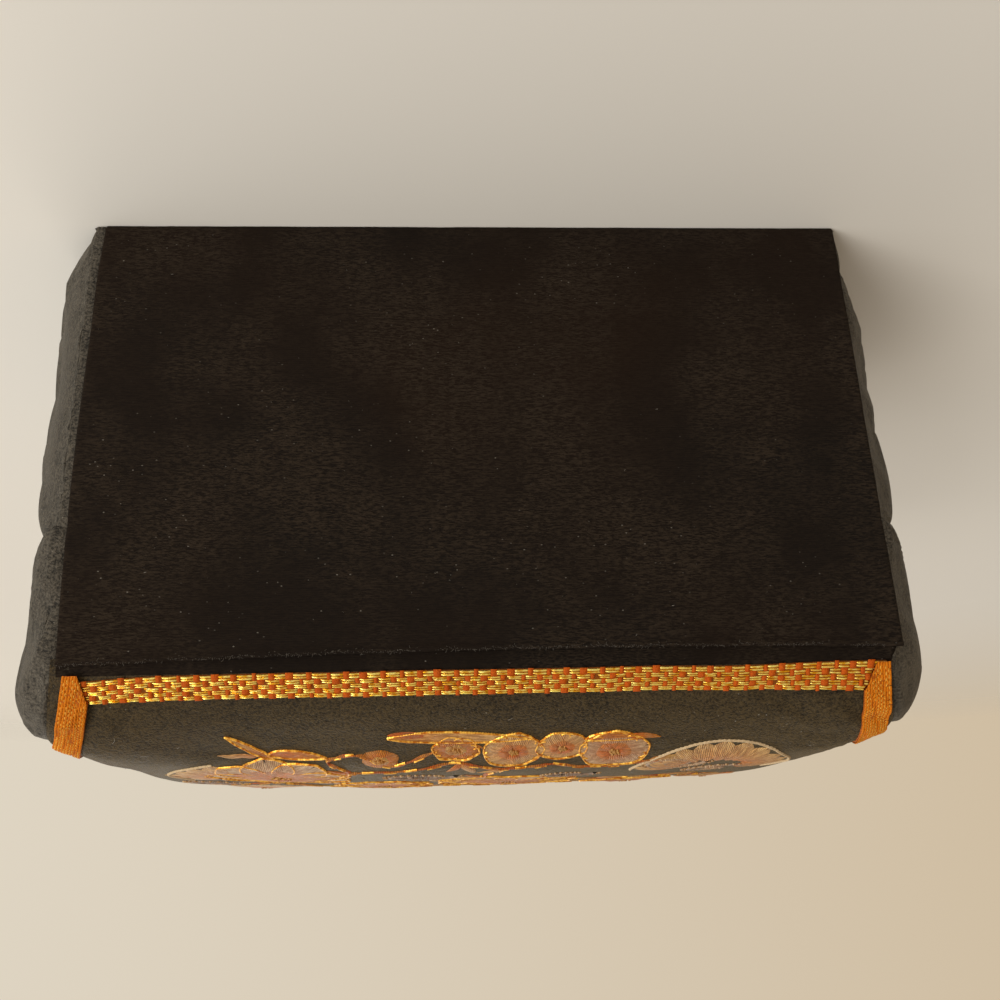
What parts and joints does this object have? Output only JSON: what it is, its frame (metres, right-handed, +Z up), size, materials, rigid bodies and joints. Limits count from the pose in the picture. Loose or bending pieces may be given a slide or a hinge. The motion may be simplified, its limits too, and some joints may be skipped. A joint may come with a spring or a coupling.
{
  "type": "keepsake box",
  "caption": "Cloth-covered keepsake box with padded satin ends, a domed embroidered lid framed in gold braid, a cloth hinge, a satin lining, a lift-out tray and a lid mirror.",
  "frame": {"origin": "middle of the underside of the base", "axes": "+Z up through the lid, +X along the width with the flat back at +Y"},
  "size_m": [0.2038, 0.1268, 0.1277],
  "materials": {
    "cotton": "plain-woven black cotton, fine ribbed weave, matt, with lint",
    "satin": "black satin, soft sheen, slightly creased, embroidered on the crown",
    "braid": "braid woven of gold foil strips crossed by orange thread",
    "lining": "deep red satin over board and wadding",
    "ribbon": "red satin ribbon",
    "greyboard": "unbleached greyboard",
    "wadding": "white cotton wadding",
    "mirror": "silvered glass"
  },
  "bodies": {
    "box": {"base_cloth": "cotton", "base_board": "greyboard", "back_board": "greyboard", "front_board": "greyboard", "left_board": "greyboard", "right_board": "greyboard", "left_wadding": "wadding", "front_wadding": "wadding", "right_wadding": "wadding", "body_satin": "satin", "back_cloth": "cotton", "hinge_cloth": "cotton", "liner_back": "lining", "liner_front": "lining", "liner_left": "lining", "liner_right": "lining", "floor_cushion": "lining", "left_ledge": "lining", "right_ledge": "lining", "left_stay": "ribbon", "right_stay": "ribbon"},
    "lid": {"lid_back_board": "greyboard", "lid_front_board": "greyboard", "lid_left_board": "greyboard", "lid_right_board": "greyboard", "crown_card": "greyboard", "lid_left_wadding": "wadding", "lid_front_wadding": "wadding", "lid_right_wadding": "wadding", "lid_satin": "satin", "lid_back_cloth": "cotton", "crown_wadding": "wadding", "crown_satin": "satin", "braid_back": "braid", "braid_front": "braid", "braid_left": "braid", "braid_right": "braid", "lid_liner_back": "lining", "lid_liner_front": "lining", "lid_liner_left": "lining", "lid_liner_right": "lining", "ceiling_panel": "lining", "mirror_glass": "mirror", "mirror_border": "lining"},
    "tray": {"tray_base": "lining", "tray_back_wall": "lining", "tray_front_wall": "lining", "tray_left_wall": "lining", "tray_right_wall": "lining", "tray_long_divider": "lining", "tray_back_dividers": "lining", "tray_front_divider": "lining", "ring_rolls": "lining", "tray_pulls": "ribbon"}
  },
  "joints": [
    {"name": "lid_hinge", "type": "hinge", "parent": "box", "child": "lid", "pos_m": [0, 0.05775, 0.0752], "axis": [-1, 0, 0], "range_deg": [0, 100], "deforming": ["hinge_cloth", "left_stay", "right_stay"]},
    {"name": "tray_lift", "type": "slide", "parent": "box", "child": "tray", "axis": [0, 0, 1], "range_m": [0, 0.02]}
  ]
}
